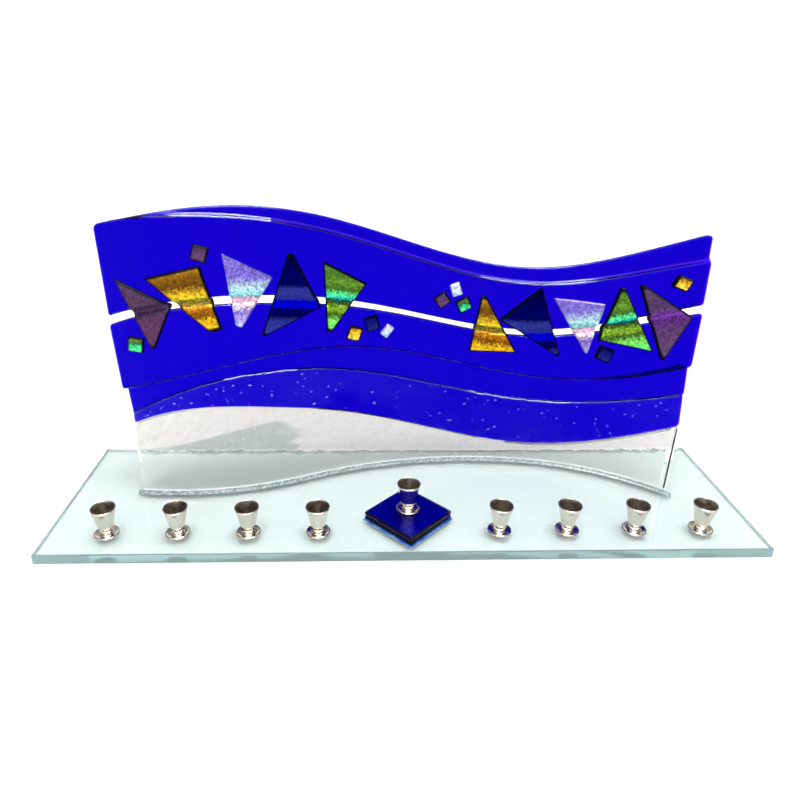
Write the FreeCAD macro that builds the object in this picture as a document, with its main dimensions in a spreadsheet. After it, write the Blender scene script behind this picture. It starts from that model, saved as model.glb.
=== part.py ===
import FreeCAD, Part
import math
import os
import Sketcher
from FreeCAD import Placement, Rotation, Vector

# Fused-glass Hanukkah menorah. Millimetres. The origin is the middle of the base plate's
# underside, +X runs along the plate, +Y goes back to the panel and +Z is up.

CLOSE = 1e-4          # two edge ends nearer than this are one corner
CUT_DEPTH = 80.0      # how far an outline is pushed each way along Y to cut a slab

# Driving dimensions: sheet alias, value, what it is.
SIZES = [
    ("plate_length", 400, "base plate along X"),
    ("plate_width", 110, "base plate along Y"),
    ("plate_thickness", 6, "base plate"),
    ("plate_seam", 0.5, "seamed (ground) edge of the plate"),
    ("glue", 0.2, "clear adhesive film"),
    ("glass", 3, "one sheet of fusing glass"),
    ("chip", 1.6, "how far a fused chip stands out of the panel"),
    ("trough_x", -137, "panel plan: nearest point of the left bend"),
    ("trough_y", 1.4, "panel plan: Y of that point"),
    ("trough_radius", 186, "panel plan: left bend"),
    ("bend_angle", 24.2, "panel plan: direction of the inflection"),
    ("crest_radius", 252, "panel plan: right bend"),
    ("tail_angle", 9.6, "panel plan: direction where the tail starts"),
    ("tail_radius", 153, "panel plan: tail at the right end"),
    ("half_reach", 168, "half the span of the wave curves"),
    ("lap", 3, "how far the lower blue runs up behind the middle blue"),
    ("cup_first", 50.8, "middle of the plate to the first cup"),
    ("cup_pitch", 38.6, "cup to cup"),
    ("cup_row_y", -37.5, "row of eight cups"),
    ("shamash_y", -24.7, "ninth cup, on the tile"),
    ("foot_radius", 7, "cup foot"),
    ("foot_rim", 0.8, "edge of the cup foot"),
    ("foot_height", 1.6, "cup foot up to the bowl"),
    ("neck_radius", 3.3, "top of the cup foot"),
    ("bowl_height", 15.5, "drawn bowl"),
    ("bowl_bottom_radius", 3.3, "outside, bottom of the bowl"),
    ("bowl_mouth_radius", 6.65, "outside, mouth of the bowl"),
    ("bowl_wall", 0.5, "drawn sheet metal"),
    ("bowl_floor", 0.9, "bottom of the bowl"),
    ("cup_glue_radius", 6, "adhesive under a cup foot"),
    ("tile_side", 36.2, "raised tile"),
    ("tile_y", -26.1, "middle of the tile"),
    ("tile_layer", 2.9, "each of the tile's two layers"),
    ("tile_edge", 0.9, "fire-polished edge of the tile"),
    ("tile_glue_side", 30, "adhesive under the tile"),
]

# Heights above the plate of each wave curve's seven control points. The points are spread
# along X as a clamped cubic B-spline wants them, so X is even along the curve.
WAVES = {
    "top_edge": (161.5, 168, 179.5, 146, 122, 148, 164.5),
    "clear_top": (163, 165.5, 170, 136.5, 111.5, 134.5, 148),
    "gap_upper": (110.8, 121.5, 128, 105.5, 84, 108, 125.5),
    "gap_lower": (105.8, 118, 122.5, 103.5, 80, 103.5, 120.5),
    "blue_seam": (67.5, 72, 91.5, 81.5, 54, 65.5, 89.5),
    "front_clear_top": (47, 66.5, 85, 61.5, 38.5, 52, 71),
    "blue_foot": (41, 58.5, 57.5, 29, 3.5, 24.5, 49),
}

# Fused sheets: name, layer, upper curve, lower curve (None is the flat foot), raised by the
# lap at the top and at the bottom, then X of the left side (top, bottom) and of the right.
SHEETS = [
    ("upper_blue_sheet", "front", "top_edge", "gap_upper", 0, 0, (-166.3, -165), (161.7, 162.2)),
    ("middle_blue_sheet", "front", "gap_lower", "blue_seam", 0, 0, (-165.3, -163.2), (162.6, 162.6)),
    ("front_clear_sheet", "front", "front_clear_top", None, 0, 0, (-159.8, -161.4), (163.8, 163.8)),
    ("upper_clear_sheet", "back", "clear_top", "blue_seam", 0, 1, (-165.2, -163.4), (163.6, 162.4)),
    ("lower_blue_sheet", "back", "blue_seam", "blue_foot", 1, 0, (-161.4, -159.6), (162.6, 164.2)),
    ("foot_clear_sheet", "back", "blue_foot", None, 0, 0, (-159.6, -161.4), (164.2, 163.8)),
]

# Chips cut as triangles, some with a nipped corner: corners as (x, height above the plate).
TRIANGLES = [
    ("purple", [(-158, 133), (-131, 119.5), (-130.5, 118), (-141, 95), (-143, 95)]),
    ("gold", [(-141.5, 134), (-113.5, 140.5), (-104.5, 105.5), (-110.5, 104)]),
    ("lilac", [(-101, 146.5), (-76.5, 132.5), (-93.5, 106), (-96.5, 107.5)]),
    ("navy", [(-67.5, 144), (-65, 144), (-51, 112.5), (-81, 99.5), (-82.5, 100.5)]),
    ("green", [(-48.5, 138.5), (-24.5, 124), (-44.5, 97), (-47, 98)]),
    ("gold", [(46, 114), (48.3, 114), (69.5, 78.5), (40.5, 79)]),
    ("navy", [(81.5, 120.5), (95.8, 79), (94.5, 78), (58.5, 99.5)]),
    ("lilac", [(89.5, 114.5), (117.5, 113.5), (111.5, 82.5), (110.5, 82.5)]),
    ("green", [(124.3, 124), (126.7, 124), (144, 89.5), (117, 91), (116.8, 93)]),
    ("purple", [(133.8, 126.5), (135.5, 127.5), (158, 114), (149.8, 86.5), (148.6, 86.5)]),
]

# Chips cut square: colour, middle as (x, height above the plate), sides, turn in degrees.
SQUARES = [
    ("purple", (-112.7, 147.4), (8.6, 8.8), -18),
    ("green", (-151.4, 96.4), (9, 9), -8),
    ("gold", (-31.1, 93.9), (8.6, 9), -19),
    ("navy", (-20.7, 99.3), (8.2, 9.4), 14),
    ("lilac", (-11.5, 93.8), (5.6, 7.8), -38),
    ("purple", (21.8, 112), (8.5, 8.5), 36),
    ("lilac", (30, 118.5), (6.2, 8.2), 19),
    ("green", (35.3, 108.9), (8.6, 8.4), 28),
    ("navy", (121, 82.4), (8.4, 9.4), -14),
    ("gold", (151.6, 132.3), (7.1, 7.9), -18),
]

CUP_NUMBERS = range(1, 10)
SHAMASH = 5           # counted from the left, the ninth candle's cup


def new_sheet(doc):
    """The spreadsheet that holds every driving dimension under its alias."""
    sheet = doc.addObject("Spreadsheet::Sheet", "sizes")
    row = 1
    for alias, value, note in SIZES:
        sheet.set(f"A{row}", note)
        sheet.set(f"B{row}", str(value))
        sheet.setAlias(f"B{row}", alias)
        row += 1
    for wave, heights in WAVES.items():
        sheet.set(f"A{row}", wave)
        for number, height in enumerate(heights, start=1):
            cell = f"{chr(ord('A') + number)}{row}"
            sheet.set(cell, str(height))
            sheet.setAlias(cell, f"{wave}_{number}")
        row += 1
    doc.recompute()
    return sheet


doc = FreeCAD.newDocument("menorah")
sheet = new_sheet(doc)
parts = []            # the sub-parts, in the order they are made


def size(alias):
    """A driving dimension, read back from the sheet."""
    return float(sheet.get(alias))


PANEL_BASE = size("plate_thickness") + size("glue")


def tie_ends(sketch):
    """Join each edge of a closed loop to the next one."""
    count = len(sketch.Geometry)
    for first in range(count):
        second = (first + 1) % count
        for end in (1, 2):
            for start in (1, 2):
                gap = sketch.getPoint(first, end).distanceToPoint(sketch.getPoint(second, start))
                if gap < CLOSE:
                    sketch.addConstraint(Sketcher.Constraint("Coincident", first, end, second, start))


def pin(sketch, edge, end, across, up):
    """Hold one end of an edge at (across, up), each an expression on the sheet."""
    point = sketch.getPoint(edge, end)
    for kind, value, expression in (("DistanceX", point.x, across), ("DistanceY", point.y, up)):
        if expression == "0":
            axis = -2 if kind == "DistanceX" else -1
            sketch.addConstraint(Sketcher.Constraint("PointOnObject", edge, end, axis))
        else:
            index = sketch.addConstraint(Sketcher.Constraint(kind, -1, 1, edge, end, value))
            sketch.setExpression(f"Constraints[{index}]", expression)


def evaluate(expression):
    """The value of a sheet expression, for a sketch's first geometry."""
    return float(sheet.evalExpression(expression))


def polygon(sketch, corners):
    """A closed loop of straight edges whose corners are sheet expressions."""
    points = [Vector(evaluate(across), evaluate(up), 0) for across, up in corners]
    for number, point in enumerate(points):
        after = points[(number + 1) % len(points)]
        sketch.addGeometry(Part.LineSegment(point, after))
    tie_ends(sketch)
    for number, (across, up) in enumerate(corners):
        pin(sketch, number, 1, across, up)


def body_with_sketch(label, plane):
    """A body and its first sketch, on one of the body's origin planes."""
    body = doc.addObject("PartDesign::Body", label)
    body.Label = label
    sketch = body.newObject("Sketcher::SketchObject", f"{label}_outline")
    face = next(f for f in body.Origin.OriginFeatures if f.Role == plane)
    sketch.AttachmentSupport = [(face, "")]
    sketch.MapMode = "FlatFace"
    doc.recompute()
    return body, sketch


def pad(body, sketch, length):
    """Thicken a sketch by an expression."""
    feature = body.newObject("PartDesign::Pad", f"{body.Label}_pad")
    feature.Profile = sketch
    feature.setExpression("Length", length)
    doc.recompute()
    return feature


def place(thing, x="0", y="0", z="0"):
    """Bind where a sub-part stands to the sheet."""
    for axis, expression in (("x", x), ("y", y), ("z", z)):
        thing.setExpression(f"Placement.Base.{axis}", expression)
    parts.append(thing)


def rectangle(sketch, half_across, half_up):
    """A rectangle about the sketch's origin."""
    left, right = f"-({half_across})", half_across
    low, high = f"-({half_up})", half_up
    polygon(sketch, [(left, low), (right, low), (right, high), (left, high)])


# --- Base plate -----------------------------------------------------------------------------

def base_plate():
    """Float glass with its sharp edges ground off."""
    body, sketch = body_with_sketch("base_plate", "XY_Plane")
    rectangle(sketch, "sizes.plate_length / 2", "sizes.plate_width / 2")
    slab = pad(body, sketch, "sizes.plate_thickness")
    seam = body.newObject("PartDesign::Chamfer", "base_plate_seam")
    seam.Base = (slab, [f"Edge{number + 1}" for number in range(len(slab.Shape.Edges))])
    seam.setExpression("Size", "sizes.plate_seam")
    place(body)


# --- The panel's wave plan and its layers ---------------------------------------------------

def plan_circles(offset):
    """Centre, radius and side of the three tangent arcs, offset back from the panel's face."""
    bend = math.radians(size("bend_angle"))
    tail = math.radians(size("tail_angle"))
    across_bend = Vector(math.sin(bend), -math.cos(bend), 0)
    across_tail = Vector(math.sin(tail), math.cos(tail), 0)
    trough = Vector(size("trough_x"), size("trough_y") + size("trough_radius"), 0)
    crest = trough + across_bend * (size("trough_radius") + size("crest_radius"))
    tail_centre = crest + across_tail * (size("crest_radius") - size("tail_radius"))
    joins = [trough + across_bend * (size("trough_radius") - offset),
             crest + across_tail * (size("crest_radius") + offset)]
    circles = [(trough, size("trough_radius") - offset, -1),
               (crest, size("crest_radius") + offset, 1),
               (tail_centre, size("tail_radius") + offset, 1)]
    return circles, joins


def on_circle(circle, x):
    """The point of a plan circle at x, on the side that the panel uses."""
    centre, radius, side = circle
    return Vector(x, centre.y + side * math.sqrt(radius ** 2 - (x - centre.x) ** 2), 0)


def plan_arcs(offset, left, right):
    """The panel's plan curve at an offset, from x = left to x = right, as tangent arcs."""
    circles, joins = plan_circles(offset)
    stops = [left, joins[0].x, joins[1].x, right]
    arcs = []
    for circle, start, end in zip(circles, stops, stops[1:]):
        middle = (start + end) / 2
        arcs.append(Part.Arc(on_circle(circle, start), on_circle(circle, middle),
                             on_circle(circle, end)))
    return arcs, on_circle(circles[0], left), on_circle(circles[2], right)


def plan_slab(label, near, far, left, right, bottom, height):
    """An upright slab between two offsets of the plan curve."""
    sketch = doc.addObject("Sketcher::SketchObject", f"{label}_plan")
    near_arcs, near_left, near_right = plan_arcs(near, left, right)
    far_arcs, far_left, far_right = plan_arcs(far, left, right)
    loop = near_arcs + [Part.LineSegment(near_right, far_right)]
    loop += far_arcs[::-1] + [Part.LineSegment(far_left, near_left)]
    for edge in loop:
        sketch.addGeometry(edge)
    tie_ends(sketch)
    sketch.setExpression("Placement.Base.z", bottom)
    slab = doc.addObject("Part::Extrusion", label)
    slab.Base = sketch
    slab.DirMode = "Custom"
    slab.Dir = Vector(0, 0, 1)
    slab.Solid = True
    slab.setExpression("LengthFwd", height)
    return slab


def layers():
    """The slabs that every sheet and chip is cut from."""
    reach = size("half_reach")
    glass = size("glass")
    base = "sizes.plate_thickness + sizes.glue"
    tall = "sizes.top_edge_3 + sizes.glass"
    return {
        "front": plan_slab("front_layer", 0, glass, -reach, reach, base, tall),
        "back": plan_slab("back_layer", glass, 2 * glass, -reach, reach, base, tall),
        "chips": plan_slab("chip_layer", -size("chip"), 0, -reach, reach, base, tall),
    }


def wave_curve(wave, raised, left, right):
    """The stretch of a wave curve from x = left to x = right."""
    reach = size("half_reach")
    knots = [0, 0.25, 0.5, 0.75, 1]
    ends = [0, 0, 0] + knots + [1, 1, 1]
    poles = []
    for number in range(1, 8):
        along = sum(ends[number:number + 3]) / 3
        height = size(f"{wave}_{number}") + raised
        poles.append(Vector((2 * along - 1) * reach, height, 0))
    curve = Part.BSplineCurve()
    curve.buildFromPolesMultsKnots(poles, [4, 1, 1, 1, 4], knots, False, 3)
    curve.segment((left / reach + 1) / 2, (right / reach + 1) / 2)
    return curve


def cut_from(layer, label, edges):
    """The piece of a layer inside an outline drawn as seen from the front."""
    sketch = doc.addObject("Sketcher::SketchObject", f"{label}_outline")
    for edge in edges:
        sketch.addGeometry(edge)
    tie_ends(sketch)
    sketch.Placement = Placement(Vector(0, 0, PANEL_BASE), Rotation(Vector(1, 0, 0), 90))
    sketch.setExpression("Placement.Base.z", "sizes.plate_thickness + sizes.glue")
    prism = doc.addObject("Part::Extrusion", f"{label}_prism")
    prism.Base = sketch
    prism.DirMode = "Custom"
    prism.Dir = Vector(0, 1, 0)
    prism.Solid = True
    prism.LengthFwd = CUT_DEPTH
    prism.LengthRev = CUT_DEPTH
    piece = doc.addObject("Part::Common", label)
    piece.Label = label
    piece.Base = layer
    piece.Tool = prism
    parts.append(piece)


def fused_sheets(slabs):
    """The six sheets of the panel."""
    lap = size("lap")
    for label, layer, upper, lower, top_laps, foot_laps, left, right in SHEETS:
        top = wave_curve(upper, top_laps * lap, left[0], right[0])
        if lower:
            bottom = wave_curve(lower, foot_laps * lap, left[1], right[1])
            low_left, low_right = bottom.StartPoint, bottom.EndPoint
        else:
            low_left, low_right = Vector(left[1], 0, 0), Vector(right[1], 0, 0)
            bottom = Part.LineSegment(low_left, low_right)
        left_side = Part.LineSegment(low_left, top.StartPoint)
        right_side = Part.LineSegment(top.EndPoint, low_right)
        cut_from(slabs[layer], label, [top, right_side, bottom, left_side])


def straight_edges(corners):
    """A closed loop of straight edges through (x, height) corners."""
    points = [Vector(x, height, 0) for x, height in corners]
    return [Part.LineSegment(a, b) for a, b in zip(points, points[1:] + points[:1])]


def triangle_chips(slabs):
    """The chips that bridge the clear gap, numbered from the left."""
    for number, (colour, corners) in enumerate(TRIANGLES, start=1):
        cut_from(slabs["chips"], f"triangle_{number:02d}_{colour}", straight_edges(corners))


def square_chips(slabs):
    """The small chips beside the triangles, numbered from the left."""
    for number, (colour, middle, sides, turn) in enumerate(SQUARES, start=1):
        turned = Rotation(Vector(0, 0, 1), turn)
        corners = []
        for across, up in ((-1, -1), (1, -1), (1, 1), (-1, 1)):
            corner = turned.multVec(Vector(across * sides[0] / 2, up * sides[1] / 2, 0))
            corners.append((middle[0] + corner.x, middle[1] + corner.y))
        cut_from(slabs["chips"], f"square_{number:02d}_{colour}", straight_edges(corners))


# --- Raised tile ----------------------------------------------------------------------------

def tile_layer(label, height):
    """One of the tile's two squares, corner towards the front, with polished edges."""
    body, sketch = body_with_sketch(label, "XY_Plane")
    rectangle(sketch, "sizes.tile_side / 2", "sizes.tile_side / 2")
    slab = pad(body, sketch, "sizes.tile_layer")
    polish = body.newObject("PartDesign::Fillet", f"{label}_polish")
    polish.Base = (slab, [f"Edge{number + 1}" for number in range(len(slab.Shape.Edges))])
    polish.setExpression("Radius", "sizes.tile_edge")
    body.Placement = Placement(Vector(), Rotation(Vector(0, 0, 1), 45))
    place(body, y="sizes.tile_y", z=height)


# --- Candle cups ----------------------------------------------------------------------------

def revolve(body, sketch):
    """Turn a half profile about the upright axis."""
    turned = body.newObject("PartDesign::Revolution", f"{body.Label}_turned")
    turned.Profile = sketch
    turned.ReferenceAxis = (sketch, ["V_Axis"])
    turned.Angle = 360
    doc.recompute()


def cup_foot(label):
    """A turned foot: a thin disc that flares in to a short neck."""
    body, sketch = body_with_sketch(label, "XZ_Plane")
    foot, rim = size("foot_radius"), size("foot_rim")
    neck, top = size("neck_radius"), size("foot_height")
    flare = Part.Arc(Vector(foot, rim, 0), Vector((foot + 3 * neck) / 4, (3 * rim + top) / 4, 0),
                     Vector(neck, top, 0))
    corners = [Vector(0, 0, 0), Vector(foot, 0, 0), Vector(foot, rim, 0)]
    sketch.addGeometry(Part.LineSegment(corners[0], corners[1]))
    sketch.addGeometry(Part.LineSegment(corners[1], corners[2]))
    sketch.addGeometry(flare)
    sketch.addGeometry(Part.LineSegment(Vector(neck, top, 0), Vector(0, top, 0)))
    sketch.addGeometry(Part.LineSegment(Vector(0, top, 0), corners[0]))
    tie_ends(sketch)
    pin(sketch, 0, 1, "0", "0")
    pin(sketch, 1, 1, "sizes.foot_radius", "0")
    pin(sketch, 1, 2, "sizes.foot_radius", "sizes.foot_rim")
    pin(sketch, 3, 1, "sizes.neck_radius", "sizes.foot_height")
    pin(sketch, 4, 1, "0", "sizes.foot_height")
    revolve(body, sketch)
    return body


def cup_bowl(label):
    """A thin drawn cone with a flat floor, open at the top."""
    body, sketch = body_with_sketch(label, "XZ_Plane")
    inner_bottom = ("sizes.bowl_bottom_radius - sizes.bowl_wall + sizes.bowl_floor / sizes.bowl_height"
                    " * (sizes.bowl_mouth_radius - sizes.bowl_bottom_radius)")
    polygon(sketch, [
        ("0", "0"),
        ("sizes.bowl_bottom_radius", "0"),
        ("sizes.bowl_mouth_radius", "sizes.bowl_height"),
        ("sizes.bowl_mouth_radius - sizes.bowl_wall", "sizes.bowl_height"),
        (inner_bottom, "sizes.bowl_floor"),
        ("0", "sizes.bowl_floor"),
    ])
    revolve(body, sketch)
    return body


def cup_place(number):
    """Where cup NUMBER stands, as expressions for x, y and the top of what it stands on."""
    if number == SHAMASH:
        return "0", "sizes.shamash_y", "sizes.plate_thickness + sizes.glue + 2 * sizes.tile_layer"
    side = "-" if number < SHAMASH else ""
    steps = abs(number - SHAMASH) - 1
    return (f"{side}(sizes.cup_first + {steps} * sizes.cup_pitch)", "sizes.cup_row_y",
            "sizes.plate_thickness")


def candle_cups():
    """Nine cups, each a bowl on a foot, numbered from the left."""
    for number in CUP_NUMBERS:
        x, y, stand = cup_place(number)
        place(cup_foot(f"cup_foot_{number}"), x, y, f"{stand} + sizes.glue")
        place(cup_bowl(f"cup_bowl_{number}"), x, y, f"{stand} + sizes.glue + sizes.foot_height")


# --- Clear adhesive -------------------------------------------------------------------------

def cup_adhesive():
    """A thin round film under each cup foot, as one group."""
    films = []
    for number in CUP_NUMBERS:
        film = doc.addObject("Part::Cylinder", f"cup_film_{number}")
        film.setExpression("Radius", "sizes.cup_glue_radius")
        film.setExpression("Height", "sizes.glue")
        for axis, expression in zip("xyz", cup_place(number)):
            film.setExpression(f"Placement.Base.{axis}", expression)
        films.append(film)
    group = doc.addObject("Part::Compound", "cup_adhesive")
    group.Label = "cup_adhesive"
    group.Links = films
    parts.append(group)


def tile_adhesive():
    """The square film under the tile."""
    body, sketch = body_with_sketch("tile_adhesive", "XY_Plane")
    rectangle(sketch, "sizes.tile_glue_side / 2", "sizes.tile_glue_side / 2")
    pad(body, sketch, "sizes.glue")
    body.Placement = Placement(Vector(), Rotation(Vector(0, 0, 1), 45))
    place(body, y="sizes.tile_y", z="sizes.plate_thickness")


def panel_adhesive():
    """The film along the panel's foot."""
    left_side, right_side = SHEETS[-1][-2:]
    film = plan_slab("panel_adhesive", 0, 2 * size("glass"), left_side[1], right_side[1],
                     "sizes.plate_thickness", "sizes.glue")
    film.Label = "panel_adhesive"
    parts.append(film)


# --- Build, check and write -----------------------------------------------------------------

def build():
    base_plate()
    slabs = layers()
    fused_sheets(slabs)
    triangle_chips(slabs)
    square_chips(slabs)
    tile_layer("tile_lower", "sizes.plate_thickness + sizes.glue")
    tile_layer("tile_upper", "sizes.plate_thickness + sizes.glue + sizes.tile_layer")
    candle_cups()
    panel_adhesive()
    tile_adhesive()
    cup_adhesive()
    doc.recompute()


def check():
    """Stop if any object failed or any sub-part is empty or broken."""
    for thing in doc.Objects:
        if "Invalid" in thing.State or "Error" in thing.State:
            raise SystemExit(f"{thing.Name} is {thing.State}")
    for part in parts:
        if part.Shape.isNull() or not part.Shape.isValid() or not part.Shape.Solids:
            raise SystemExit(f"{part.Label} has no valid solid")


def write():
    """One STEP file per sub-part, named after its label."""
    os.makedirs("parts", exist_ok=True)
    for part in parts:
        part.Shape.exportStep(f"parts/{part.Label}.step")
        print(part.Label, len(part.Shape.Solids), round(part.Shape.Volume, 1))


build()
check()
write()
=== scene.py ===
"""The looks of a fused-glass menorah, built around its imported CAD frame.

The scene is in metres and in the CAD's own frame: the origin is the middle of the base plate's
underside, +Z is up, and the viewer stands on the -Y side. Sizes below are in millimetres and become
metres only when a mesh is made. Heights on the panel count from the panel's foot, and an offset
counts from the panel's front face towards its back.
"""

import math
import random

import bmesh
import bpy
from mathutils import Matrix, Vector, noise
from mathutils.geometry import convex_hull_2d


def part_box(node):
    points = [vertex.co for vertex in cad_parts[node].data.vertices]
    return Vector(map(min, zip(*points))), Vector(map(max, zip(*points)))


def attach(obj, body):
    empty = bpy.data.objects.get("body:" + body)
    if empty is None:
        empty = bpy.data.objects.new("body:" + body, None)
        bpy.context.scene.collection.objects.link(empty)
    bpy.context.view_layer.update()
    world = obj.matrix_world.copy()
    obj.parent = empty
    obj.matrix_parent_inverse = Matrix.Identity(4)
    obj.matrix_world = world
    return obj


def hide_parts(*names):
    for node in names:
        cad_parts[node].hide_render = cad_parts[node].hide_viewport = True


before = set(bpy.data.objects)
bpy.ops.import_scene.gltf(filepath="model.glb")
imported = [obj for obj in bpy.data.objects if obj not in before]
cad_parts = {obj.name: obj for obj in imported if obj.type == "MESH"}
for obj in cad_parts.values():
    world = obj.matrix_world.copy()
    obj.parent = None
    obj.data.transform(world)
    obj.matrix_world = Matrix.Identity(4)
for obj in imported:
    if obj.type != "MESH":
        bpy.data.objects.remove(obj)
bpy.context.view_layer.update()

MM = 0.001
ROOT = "root"
SEED = 5

# --- the panel, as the part's source has it ---------------------------------------------------

PLATE_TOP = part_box("base_plate")[1].z / MM
PANEL_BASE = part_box("foot_clear_sheet")[0].z / MM
GLASS = 3.0
AIR = 0.03
WAVE_REACH = 168.0
# Heights of each wave curve's control points.
WAVES = {
    "top_edge": (161.5, 168, 179.5, 146, 122, 148, 164.5),
    "clear_top": (163, 165.5, 170, 136.5, 111.5, 134.5, 148),
    "gap_upper": (110.8, 121.5, 128, 105.5, 84, 108, 125.5),
    "gap_lower": (105.8, 118, 122.5, 103.5, 80, 103.5, 120.5),
    "blue_seam": (67.5, 72, 91.5, 81.5, 54, 65.5, 89.5),
    "front_clear_top": (47, 66.5, 85, 61.5, 38.5, 52, 71),
    "blue_foot": (41, 58.5, 57.5, 29, 3.5, 24.5, 49),
    "base": (0, 0, 0, 0, 0, 0, 0),
    "reflected_plate_edge": (27.5, 27, 51.5, 32, 5, 19, 45),
}

# Sheet: wave at its top, wave at its foot, first offset, sides as (top, foot) on the left and
# on the right, how round its corners are at the (top, foot).
SHEETS = {
    "upper_blue_sheet": (
        "top_edge", "gap_upper", 0, (-166.3, -165.0), (161.7, 162.2), (3.0, 1.6),
    ),
    "middle_blue_sheet": (
        "gap_lower", "blue_seam", 0, (-165.3, -163.2), (162.6, 162.6), (1.6, 1.6),
    ),
    "front_clear_sheet": (
        "front_clear_top", "base", 0, (-159.8, -161.4), (163.8, 163.8), (1.2, 3.0),
    ),
    "upper_clear_sheet": (
        "clear_top", "blue_seam", GLASS, (-165.2, -163.4), (163.6, 162.4), (2.4, 0.8),
    ),
    "lower_blue_sheet": (
        "blue_seam", "blue_foot", GLASS, (-161.4, -159.6), (162.6, 164.2), (0.8, 2.2),
    ),
    "foot_clear_sheet": (
        "blue_foot", "base", GLASS, (-159.6, -161.4), (164.2, 163.8), (0.8, 3.0),
    ),
}
# How far sheets in one layer reach past a seam, as (top, foot).
SEAM_LAP = 0.3
LAPS = {"upper_clear_sheet": (0, SEAM_LAP), "lower_blue_sheet": (SEAM_LAP, 0)}

# The panel's plan: three arcs that run into one another.
TROUGH_RADIUS = 186.0
CREST_RADIUS = 252.0
TAIL_RADIUS = 153.0
BEND_ANGLE = math.radians(24.2)
TAIL_ANGLE = math.radians(9.6)
ACROSS_BEND = Vector((math.sin(BEND_ANGLE), -math.cos(BEND_ANGLE)))
ACROSS_TAIL = Vector((math.sin(TAIL_ANGLE), math.cos(TAIL_ANGLE)))
TROUGH = Vector((-137.0, 1.4 + TROUGH_RADIUS))
CREST = TROUGH + ACROSS_BEND * (TROUGH_RADIUS + CREST_RADIUS)
TAIL = CREST + ACROSS_TAIL * (CREST_RADIUS - TAIL_RADIUS)


def wave(heights):
    """A clamped uniform cubic B-spline over the panel's width, as a function from x to a height."""
    degree = 3
    spans = len(heights) - degree
    knots = [0] * degree + list(range(spans + 1)) + [spans] * degree

    def height(x):
        t = min(max((x + WAVE_REACH) / (2 * WAVE_REACH), 0.0), 1.0) * spans
        first = min(int(t), spans - 1)
        level = list(heights[first:first + degree + 1])
        for step in range(1, degree + 1):
            for j in range(degree, step - 1, -1):
                low = knots[first + j]
                high = knots[first + j + 1 + degree - step]
                share = (t - low) / (high - low)
                level[j] = (1 - share) * level[j - 1] + share * level[j]
        return level[degree]

    return height


WAVE = {name: wave(heights) for name, heights in WAVES.items()}


def plan_y(x, offset):
    """How far back the panel stands at x, for the surface offset behind its front face."""
    if x < TROUGH.x + ACROSS_BEND.x * (TROUGH_RADIUS - offset):
        return TROUGH.y - math.sqrt((TROUGH_RADIUS - offset) ** 2 - (x - TROUGH.x) ** 2)
    if x < CREST.x + ACROSS_TAIL.x * (CREST_RADIUS + offset):
        return CREST.y + math.sqrt((CREST_RADIUS + offset) ** 2 - (x - CREST.x) ** 2)
    return TAIL.y + math.sqrt((TAIL_RADIUS + offset) ** 2 - (x - TAIL.x) ** 2)


def on_panel(x, height, offset):
    """The point of the panel at x and height, offset behind its front face, in metres."""
    return Vector((x, plan_y(x, offset), PANEL_BASE + height)) * MM


# --- meshes -----------------------------------------------------------------------------------


def mix(a, b, share):
    """The value at a share of the way from a to b."""
    return a + (b - a) * share


def smooth(t):
    """0 below 0, 1 above 1, and an S-curve in between."""
    t = min(max(t, 0.0), 1.0)
    return t * t * (3 - 2 * t)


def make_piece(name, points, faces, materials, indices=None, attributes=None):
    """An object from points in metres and faces, with smooth shading and outward normals."""
    mesh = bpy.data.meshes.new(name)
    mesh.from_pydata(points, [], faces)
    for key, values in (attributes or {}).items():
        if isinstance(values[0], tuple):
            layer = mesh.attributes.new(key, "FLOAT_COLOR", "POINT")
            layer.data.foreach_set("color", [c for value in values for c in value])
        else:
            layer = mesh.attributes.new(key, "FLOAT", "POINT")
            layer.data.foreach_set("value", values)
    if indices:
        mesh.polygons.foreach_set("material_index", indices)
    for material in materials:
        mesh.materials.append(material)
    bm = bmesh.new()
    bm.from_mesh(mesh)
    bmesh.ops.remove_doubles(bm, verts=bm.verts, dist=1e-6)
    bmesh.ops.dissolve_degenerate(bm, edges=bm.edges, dist=1e-7)
    bmesh.ops.recalc_face_normals(bm, faces=bm.faces)
    bm.to_mesh(mesh)
    bm.free()
    mesh.polygons.foreach_set("use_smooth", [True] * len(mesh.polygons))
    piece = bpy.data.objects.new(name, mesh)
    bpy.context.scene.collection.objects.link(piece)
    return piece


def settle(piece, slot, *nodes):
    """The piece rides on the one body and stands for these CAD nodes. The slot is not used."""
    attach(piece, ROOT)
    if nodes:
        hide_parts(*nodes)


def ring_faces(rings, length):
    """Quads between closed rings of points, where each ring has the same length."""
    return [
        (r * length + i, r * length + (i + 1) % length,
         (r + 1) * length + (i + 1) % length, (r + 1) * length + i)
        for r in range(rings - 1)
        for i in range(length)
    ]


def solid_faces(rings, length):
    """The same, with an end face over the first ring and over the last."""
    last = (rings - 1) * length
    ends = [tuple(range(length)), tuple(range(last, last + length))]
    return ring_faces(rings, length) + ends


# --- materials --------------------------------------------------------------------------------


def srgb(colour):
    """A colour in display values from 0 to 255 as a linear one."""
    shares = [value / 255 for value in colour]
    return [v / 12.92 if v <= 0.04045 else ((v + 0.055) / 1.055) ** 2.4 for v in shares]


def new_material(name):
    """A material that is built from nodes, with its nodes and links."""
    material = bpy.data.materials.new(name)
    material.use_nodes = True
    return material, material.node_tree.nodes, material.node_tree.links


def add(nodes, kind, **values):
    """A node of this kind, with its properties and unlinked inputs set."""
    node = nodes.new(kind)
    for key, value in values.items():
        if hasattr(node, key):
            setattr(node, key, value)
        else:
            node.inputs[key.replace("_", " ")].default_value = value
    return node


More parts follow.
